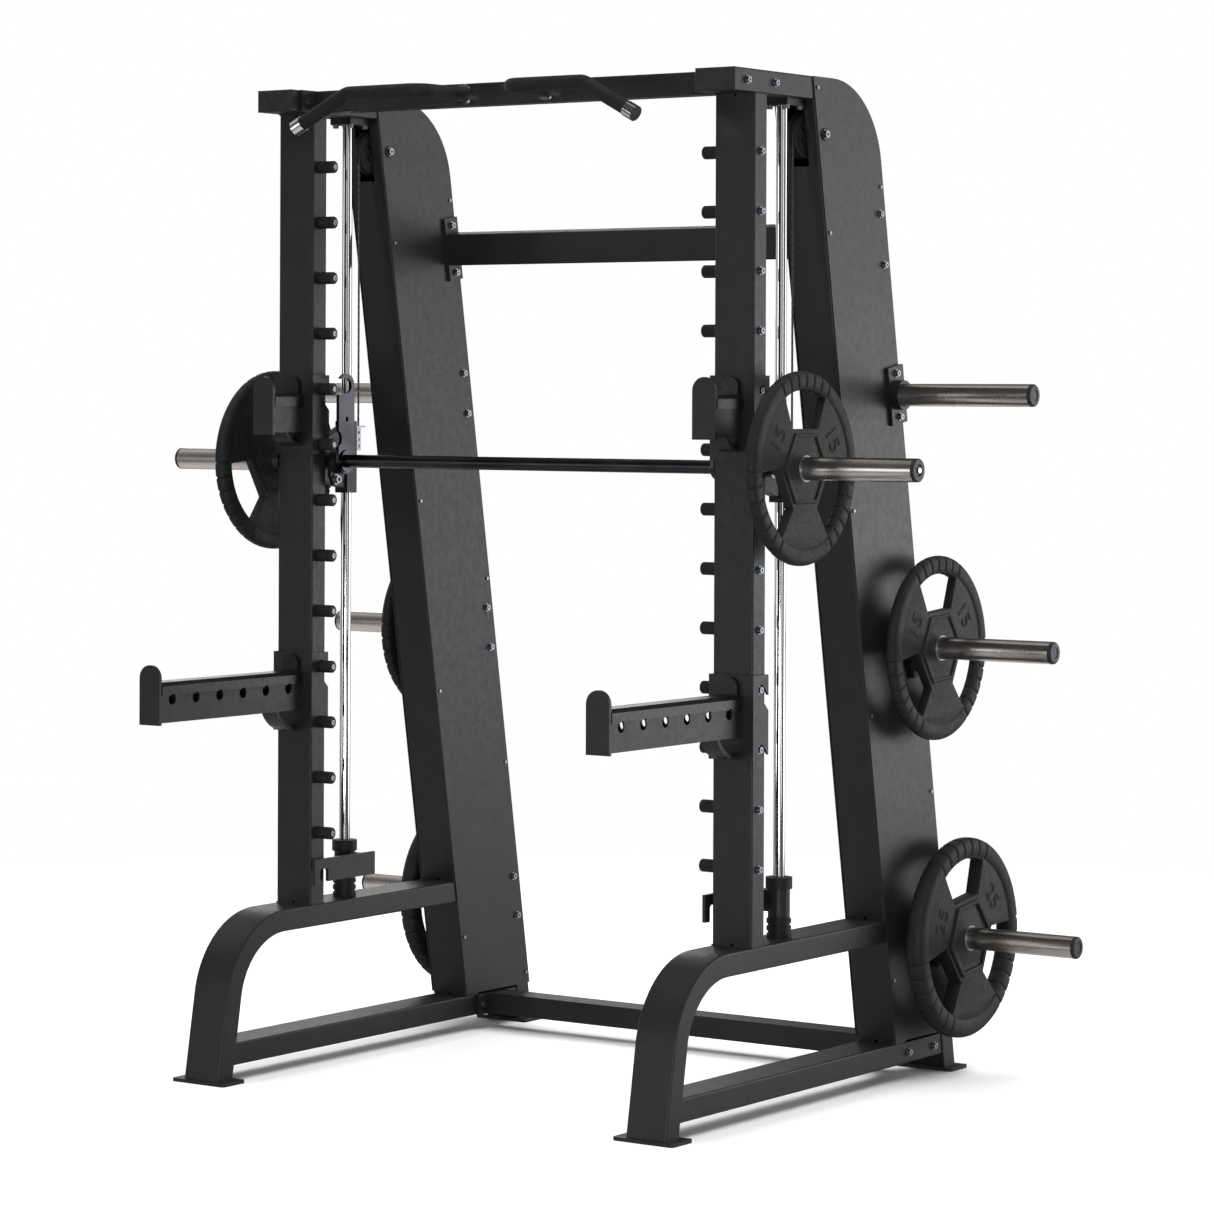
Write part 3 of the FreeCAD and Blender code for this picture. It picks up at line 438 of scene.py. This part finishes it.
        # (radius in mm, x)
        section = [(25.7, half), (27.9, half), (28.6, half - 0.6 * MM), (29.3, half - 1.4 * MM),
                   (29.3, -half + 1.4 * MM), (28.6, -half + 0.6 * MM), (27.9, -half), (25.7, -half)]
        rings = [[self.at(r * MM, a, x) for r, x in section] for a in turn_angles(INSERT_POINTS)]
        return skin(rings, loop=True)

    def figures(self, angle, face):
        """The plate's number in raised outline at ANGLE, with its top outward."""
        text = bpy.data.curves.new(self.node + "_number", "FONT")
        text.body, text.size = self.number, FIGURE_HEIGHT
        text.align_x, text.align_y = "CENTER", "CENTER"
        text.fill_mode, text.bevel_depth, text.bevel_resolution = "NONE", FIGURE_STROKE, 1
        text.space_character = 1.15
        mesh = curve_mesh(text)
        side = self.out * face
        up = Vector((0, math.cos(angle), math.sin(angle)))
        look = Vector((side, 0, 0))
        right = up.cross(look)
        between = (self.hub_flat * 0.53 + self.rim_in) / 2
        base = self.at(between, angle, face * self.thick * WEB_SHARE)
        turn = Matrix((right, up, look)).transposed().to_4x4()
        mesh.transform(Matrix.Translation(base) @ turn)
        return mesh

    def build(self):
        """Makes the pieces that take the place of the plate's CAD node."""
        name = self.node
        piece(name + "_web", self.web(), self.body, "plate_rubber", [name])
        piece(name + "_rim", self.rim(), self.body, "plate_rubber")
        piece(name + "_hub", self.hub(), self.body, "plate_rubber")
        piece(name + "_bore_ring", self.insert(), self.body, "zinc")
        numbers = bmesh.new()
        for face in (1, -1):
            for degrees in FIGURE_DEGREES:
                numbers.from_mesh(self.figures(math.radians(degrees) + self.turn, face))
        piece(name + "_number", numbers, self.body, "plate_rubber", degrees=SHARP_DEGREES_ROUNDED)


def curve_mesh(curve):
    """The mesh that a curve or a text makes."""
    holder = bpy.data.objects.new("curve_holder", curve)
    bpy.context.scene.collection.objects.link(holder)
    mesh = bpy.data.meshes.new_from_object(holder.evaluated_get(bpy.context.evaluated_depsgraph_get()))
    bpy.data.objects.remove(holder)
    return mesh


def plates():
    """Two sizes of plate, each with its number, the width of its rim and its hub across the flats."""
    small, large = ("15", 41 * MM, 150 * MM), ("25", 48 * MM, 160 * MM)
    for side, out in SIDES.items():
        Plate("bar_plate_" + side, "bar_plate_" + side, out, 0.0, *small).build()
        Plate("middle_horn_plate_" + side, "middle_plate_" + side, out, 4.5, *small).build()
        Plate("lower_horn_plate_" + side, "lower_plate_" + side, out, 8.5, *large).build()


# ---- rack pin sleeves and axle spacers ------------------------------------------------------
PIN_COUNT = 13               # on each side
PIN_END_X = 507 * MM         # where the sleeves end, from the middle of the machine
SLEEVE_POINTS, SLEEVE_FLUTES, FLUTE_DEPTH = 96, 16, 0.8 * MM
FLUTED_ABOVE_R = 12 * MM     # the flutes run out towards the narrow end
SPACER_POINTS = 48


def fluted(bm, profile, place, out):
    """Skin turned about X through PLACE from (x, radius) pairs, x counting along OUT."""
    rings = []
    for x, radius in profile:
        ring = []
        for a in turn_angles(SLEEVE_POINTS):
            r = radius
            if radius > FLUTED_ABOVE_R:
                r -= FLUTE_DEPTH * max(0.0, math.cos(SLEEVE_FLUTES * a))
            ring.append(Vector((place[0] + x * out, place[1] + r * math.cos(a), place[2] + r * math.sin(a))))
        rings.append(ring)
    loft(bm, rings)


def pin_sleeves():
    """Fluted rubber sleeves on the rack pins, seated against the uprights."""
    lo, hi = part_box("rack_pins")
    radius = (hi.y - lo.y) / 2
    pitch = (hi.z - lo.z - 2 * radius) / (PIN_COUNT - 1)
    length = IN_X - PIN_END_X
    profile = [(0.0, radius), (-length + 2 * MM, radius), (-length + 0.7 * MM, radius - 0.7 * MM),
               (-length, radius - 2.2 * MM)]
    bm = bmesh.new()
    for out in SIDES.values():
        for i in range(PIN_COUNT):
            place = (IN_X * out, (lo.y + hi.y) / 2, lo.z + radius + pitch * i)
            fluted(bm, profile, place, out)
    piece("pin_sleeves", bm, "frame", "black_rubber", ["rack_pins"])


def axle_washers():
    """Black spacers round the ends of the pulley axles, against the column panels."""
    pulley, panel = middle("pulley_right"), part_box("column_panels_right")
    in_r, out_r, high, chamfer = 10.8 * MM, 14.0 * MM, 3.4 * MM, 0.8 * MM
    profile = [(0.0, in_r), (0.0, out_r), (high - chamfer, out_r), (high, out_r - chamfer), (high, in_r)]
    bm = bmesh.new()
    for out in SIDES.values():
        for face, way in ((panel[1].x, 1), (panel[0].x, -1)):
            rings = []
            for a in turn_angles(SPACER_POINTS):
                rings.append([Vector((face * out + x * out * way, pulley.y + r * math.cos(a),
                                      pulley.z + r * math.sin(a))) for x, r in profile])
            loft(bm, rings, loop=True)
    piece("axle_washers", bm, "frame", "black_plastic")


# ---- cables -----------------------------------------------------------------------------
CABLE_R = 2.5 * MM
CABLE_POINTS, CABLE_STRANDS = 12, 6
STRAND_RELIEF = 0.05         # share of the radius
TWIST = 60                   # radians along a metre of front cable
FRONT_RINGS = 130
WRAP_STEPS, DROP_STEPS = 24, 90
REAR_RING_PHASE = 0.01       # metres of twist from one ring of the rear cable to the next


def cables():
    """Cables with a faint twist of strands, stretched between the frame and the body that they hold."""
    lo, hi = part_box("cables_front")
    y = (lo.y + hi.y) / 2
    fronts = bmesh.new()
    for out in SIDES.values():
        rings = []
        for i in range(FRONT_RINGS):
            z = lo.z + (hi.z - lo.z) * i / (FRONT_RINGS - 1)
            rings.append(strand_ring(Vector((SIDE_X * out, y, z)), Vector((0, 1, 0)), z))
        loft(fronts, rings)
    front = piece("front_cable_runs", fronts, None, "cable_steel", ["cables_front"])
    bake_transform(front)

    pulley = middle("pulley_right")
    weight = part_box("counterweight_right")
    wrap = abs(pulley.y - y)
    slope = Vector(JOINTS["counterweight_slide_right"]["axis"])
    lean = math.atan2(-slope.y, slope.z)
    points = []
    for k in range(WRAP_STEPS + 1):
        a = math.pi - (math.pi - lean) * k / WRAP_STEPS
        points.append((pulley + Vector((0, math.cos(a), math.sin(a))) * wrap, a - math.pi / 2))
    top, end_angle = points[-1]
    drop = (top.z - weight[1].z) / slope.z
    for k in range(1, DROP_STEPS + 1):
        points.append((top - slope * (drop * k / DROP_STEPS), end_angle))
    for side, out in SIDES.items():
        rings = []
        for n, (p, angle) in enumerate(points):
            across = Vector((0, math.cos(angle + math.pi / 2), math.sin(angle + math.pi / 2)))
            rings.append(strand_ring(Vector((SIDE_X * out, p.y, p.z)), across, n * REAR_RING_PHASE))
        rear = piece("rear_cable_run_" + side, skin(rings), None, "cable_steel", ["cables_rear"])
        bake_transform(rear)


def strand_ring(centre, up, phase):
    """A ring across X and UP, its strands turned by PHASE metres of twist."""
    right = Vector((1, 0, 0))
    ring = []
    for a in turn_angles(CABLE_POINTS):
        r = CABLE_R * (1 - STRAND_RELIEF + STRAND_RELIEF * math.cos(CABLE_STRANDS * a))
        a += phase * TWIST
        ring.append(centre + right * (r * math.cos(a)) + up * (r * math.sin(a)))
    return ring


# ---- welds ------------------------------------------------------------------------------
WELD_R = 2.0 * MM
WELD_STEP = 1.6 * MM
WELD_INSET = 0.5 * MM        # how far the bead's middle sits from the tube's end
RIPPLE, RIPPLE_TURN = 0.14, 1.9      # share of the radius, and radians from one step to the next
WELD_SHARP_DEGREES = 70


def bead(bm, corners):
    """A rippled bead of weld round a level outline with straight sides."""
    path = []
    for a, b in zip(corners, corners[1:] + corners[:1]):
        steps = max(2, int((b - a).length / WELD_STEP))
        path += [a.lerp(b, i / steps) for i in range(steps)]
    rings = []
    for i, p in enumerate(path):
        along = (path[(i + 1) % len(path)] - path[i - 1]).normalized()
        side = along.cross(Vector((0, 0, 1)))
        side.normalize()
        up = side.cross(along)
        r = WELD_R * (1 - RIPPLE + RIPPLE * math.cos(i * RIPPLE_TURN))
        rings.append([p + side * (r * math.cos(t)) + up * (r * math.sin(t)) for t in turn_angles(6)])
    loft(bm, rings, loop=True)


def rectangle(x0, x1, y0, y1, z):
    return [Vector((x0, y0, z)), Vector((x1, y0, z)), Vector((x1, y1, z)), Vector((x0, y1, z))]


def welds():
    """Beads round both ends of each upright."""
    bm = bmesh.new()
    for out in SIDES.values():
        x0, x1 = sorted((IN_X * out, OUT_X * out))
        for z in (FOOT_Z + WELD_INSET, TOP_Z - WELD_INSET):
            bead(bm, rectangle(x0, x1, FRONT_Y, BACK_Y, z))
    piece("upright_welds", bm, "frame", "frame_paint", degrees=WELD_SHARP_DEGREES)


# ---- lights, floor and camera --------------------------------------------------------------
COOL = (0.9, 0.94, 1.0)
WHITE = (1, 1, 1, 1)
PANEL_PAIRS = 3.0
PANEL_BEARING = -75          # degrees that the wave of pale and dark is shifted by
PANEL_SWING, PANEL_MEAN = 0.26, 0.33
ROOM_STRENGTH = 0.035
FLOOR_HALF = 12.0
FADE_START, FADE_END = 1.8, 4.5      # metres from the middle of the machine


def area_light(name, place, aim, size, power, colour=(1, 1, 1), mirrored=True):
    """A lamp of SIZE (width, height) in metres and POWER in watts, which no camera sees."""
    data = bpy.data.lights.new(name, "AREA")
    data.shape, data.size, data.size_y = "RECTANGLE", *size
    data.energy, data.color = power, colour
    obj = bpy.data.objects.new(name, data)
    bpy.context.scene.collection.objects.link(obj)
    obj.location = place
    obj.visible_camera = False
    obj.visible_glossy = mirrored
    obj.rotation_euler = (Vector(aim) - Vector(place)).to_track_quat("-Z", "Y").to_euler()


def panels(tree):
    """How bright the room is by bearing: three pale and three dark stretches, for metal to mirror."""
    place = tree.nodes.new("ShaderNodeTexCoord")
    split = tree.nodes.new("ShaderNodeSeparateXYZ")
    tree.links.new(place.outputs["Generated"], split.inputs["Vector"])

    def math_node(operation, first, second=None, third=None):
        """A sum on links or plain floats."""
        node = tree.nodes.new("ShaderNodeMath")
        node.operation = operation
        for socket, value in zip(node.inputs, (first, second, third)):
            if isinstance(value, float):
                socket.default_value = value
            elif value is not None:
                tree.links.new(value, socket)
        return node.outputs[0]

    bearing = math_node("ARCTAN2", split.outputs["Y"], split.outputs["X"])
    wave = math_node("SINE", math_node("MULTIPLY_ADD", bearing, PANEL_PAIRS, math.radians(PANEL_BEARING)))
    return math_node("MULTIPLY_ADD", wave, PANEL_SWING, PANEL_MEAN)


def backdrop():
    """White to the camera, panels to gloss, and dim to all else, so that black paint keeps its depth."""
    world = bpy.data.worlds.new("studio")
    world.use_nodes = True
    tree = world.node_tree
    seen = tree.nodes.new("ShaderNodeLightPath")
    shader = tree.nodes["Background"]
    shader.inputs["Color"].default_value = (0.95, 0.97, 1.0, 1)
    shader.inputs["Strength"].default_value = ROOM_STRENGTH
    for ray in ("Is Glossy Ray", "Is Camera Ray"):
        layer = tree.nodes.new("ShaderNodeBackground")
        layer.inputs["Color"].default_value = WHITE
        mix = tree.nodes.new("ShaderNodeMixShader")
        tree.links.new(seen.outputs[ray], mix.inputs["Fac"])
        tree.links.new(shader.outputs[0], mix.inputs[1])
        tree.links.new(layer.outputs[0], mix.inputs[2])
        if ray == "Is Glossy Ray":
            tree.links.new(panels(tree), layer.inputs["Strength"])
        shader = mix
    tree.links.new(shader.outputs[0], tree.nodes["World Output"].inputs["Surface"])
    bpy.context.scene.world = world


def floor_material():
    """Pale floor that fades into the backdrop, and throws back less light than the camera sees on it."""
    s = Shader("floor", Specular_IOR_Level=0.2)
    s.colour(s.noise(3), (0.95, 0.95, 0.955), (0.965, 0.965, 0.97))
    s.roughness(s.noise(5), 0.6, 0.7)
    bounce = s.node("ShaderNodeBsdfDiffuse")
    bounce.inputs["Color"].default_value = (0.42, 0.42, 0.425, 1)
    seen = s.node("ShaderNodeLightPath")
    surface = s.node("ShaderNodeMixShader")
    s.link(seen.outputs["Is Camera Ray"], surface.inputs["Fac"])
    s.link(bounce.outputs["BSDF"], surface.inputs[1])
    s.link(s.bsdf.outputs["BSDF"], surface.inputs[2])
    length = s.node("ShaderNodeVectorMath", operation="LENGTH")
    s.link(s.coordinates, length.inputs[0])
    fade = s.spread(length.outputs["Value"], 0.0, 1.0, FADE_START, FADE_END)
    clear = s.node("ShaderNodeBsdfTransparent")
    mix = s.node("ShaderNodeMixShader")
    s.link(fade, mix.inputs["Fac"])
    s.link(surface.outputs["Shader"], mix.inputs[1])
    s.link(clear.outputs["BSDF"], mix.inputs[2])
    s.link(mix.outputs["Shader"], s.tree.nodes["Material Output"].inputs["Surface"])
    return s.material


def studio():
    """Backdrop, lamps and floor."""
    backdrop()
    bpy.context.scene.view_settings.view_transform = "Standard"
    area_light("overhead", (0.0, 0.0, 5.2), (0, 0, 0), (9.0, 9.0), 860, mirrored=False)
    area_light("back_right", (4.4, 5.4, 2.1), (0.6, 0.3, 1.3), (5.2, 4.0), 115)
    area_light("low_right", (4.1, 4.8, 0.7), (0.6, 0.2, 0.2), (4.2, 1.8), 52, COOL)
    area_light("low_front", (2.6, -4.6, 0.4), (0.5, 0.2, 0.2), (2.6, 0.7), 84, COOL)
    area_light("front_left", (-3.2, -5.9, 1.25), (0.6, -0.2, 1.1), (2.4, 2.4), 40)
    area_light("right_strip", (5.6, -1.6, 1.6), (0.6, 0.0, 1.3), (0.5, 3.0), 16)
    area_light("back_left", (-4.6, 5.2, 3.0), (-0.6, 0.3, 1.2), (2.6, 2.4), 46)
    area_light("far_left", (-6.5, 0.8, 2.0), (-0.6, 0.2, 1.2), (1.6, 2.6), 32)

    bm = bmesh.new()
    bm.faces.new([bm.verts.new(p) for p in rectangle(-FLOOR_HALF, FLOOR_HALF, -FLOOR_HALF, FLOOR_HALF, 0)])
    mesh = bpy.data.meshes.new("floor")
    bm.to_mesh(mesh)
    bm.free()
    mesh.materials.append(floor_material())
    floor = bpy.data.objects.new("floor", mesh)
    bpy.context.scene.collection.objects.link(floor)


def camera():
    """A nearly level camera to the right of the front, shifted to frame the machine."""
    azimuth, roll = 34.93, 0.22          # degrees
    place = (5.2195, -7.3412, 1.5425)
    data = bpy.data.cameras.new("camera")
    data.sensor_width, data.lens = 36.0, 118.12
    data.shift_y = -0.17625
    data.clip_end = 200
    obj = bpy.data.objects.new("camera", data)
    bpy.context.scene.collection.objects.link(obj)
    level = Matrix.Rotation(math.radians(azimuth), 4, "Z") @ Matrix.Rotation(math.radians(90), 4, "X")
    obj.matrix_world = Matrix.Translation(place) @ level @ Matrix.Rotation(math.radians(roll), 4, "Z")
    bpy.context.scene.camera = obj


dress_frame()
plates()
pin_sleeves()
axle_washers()
cables()
welds()
studio()
camera()
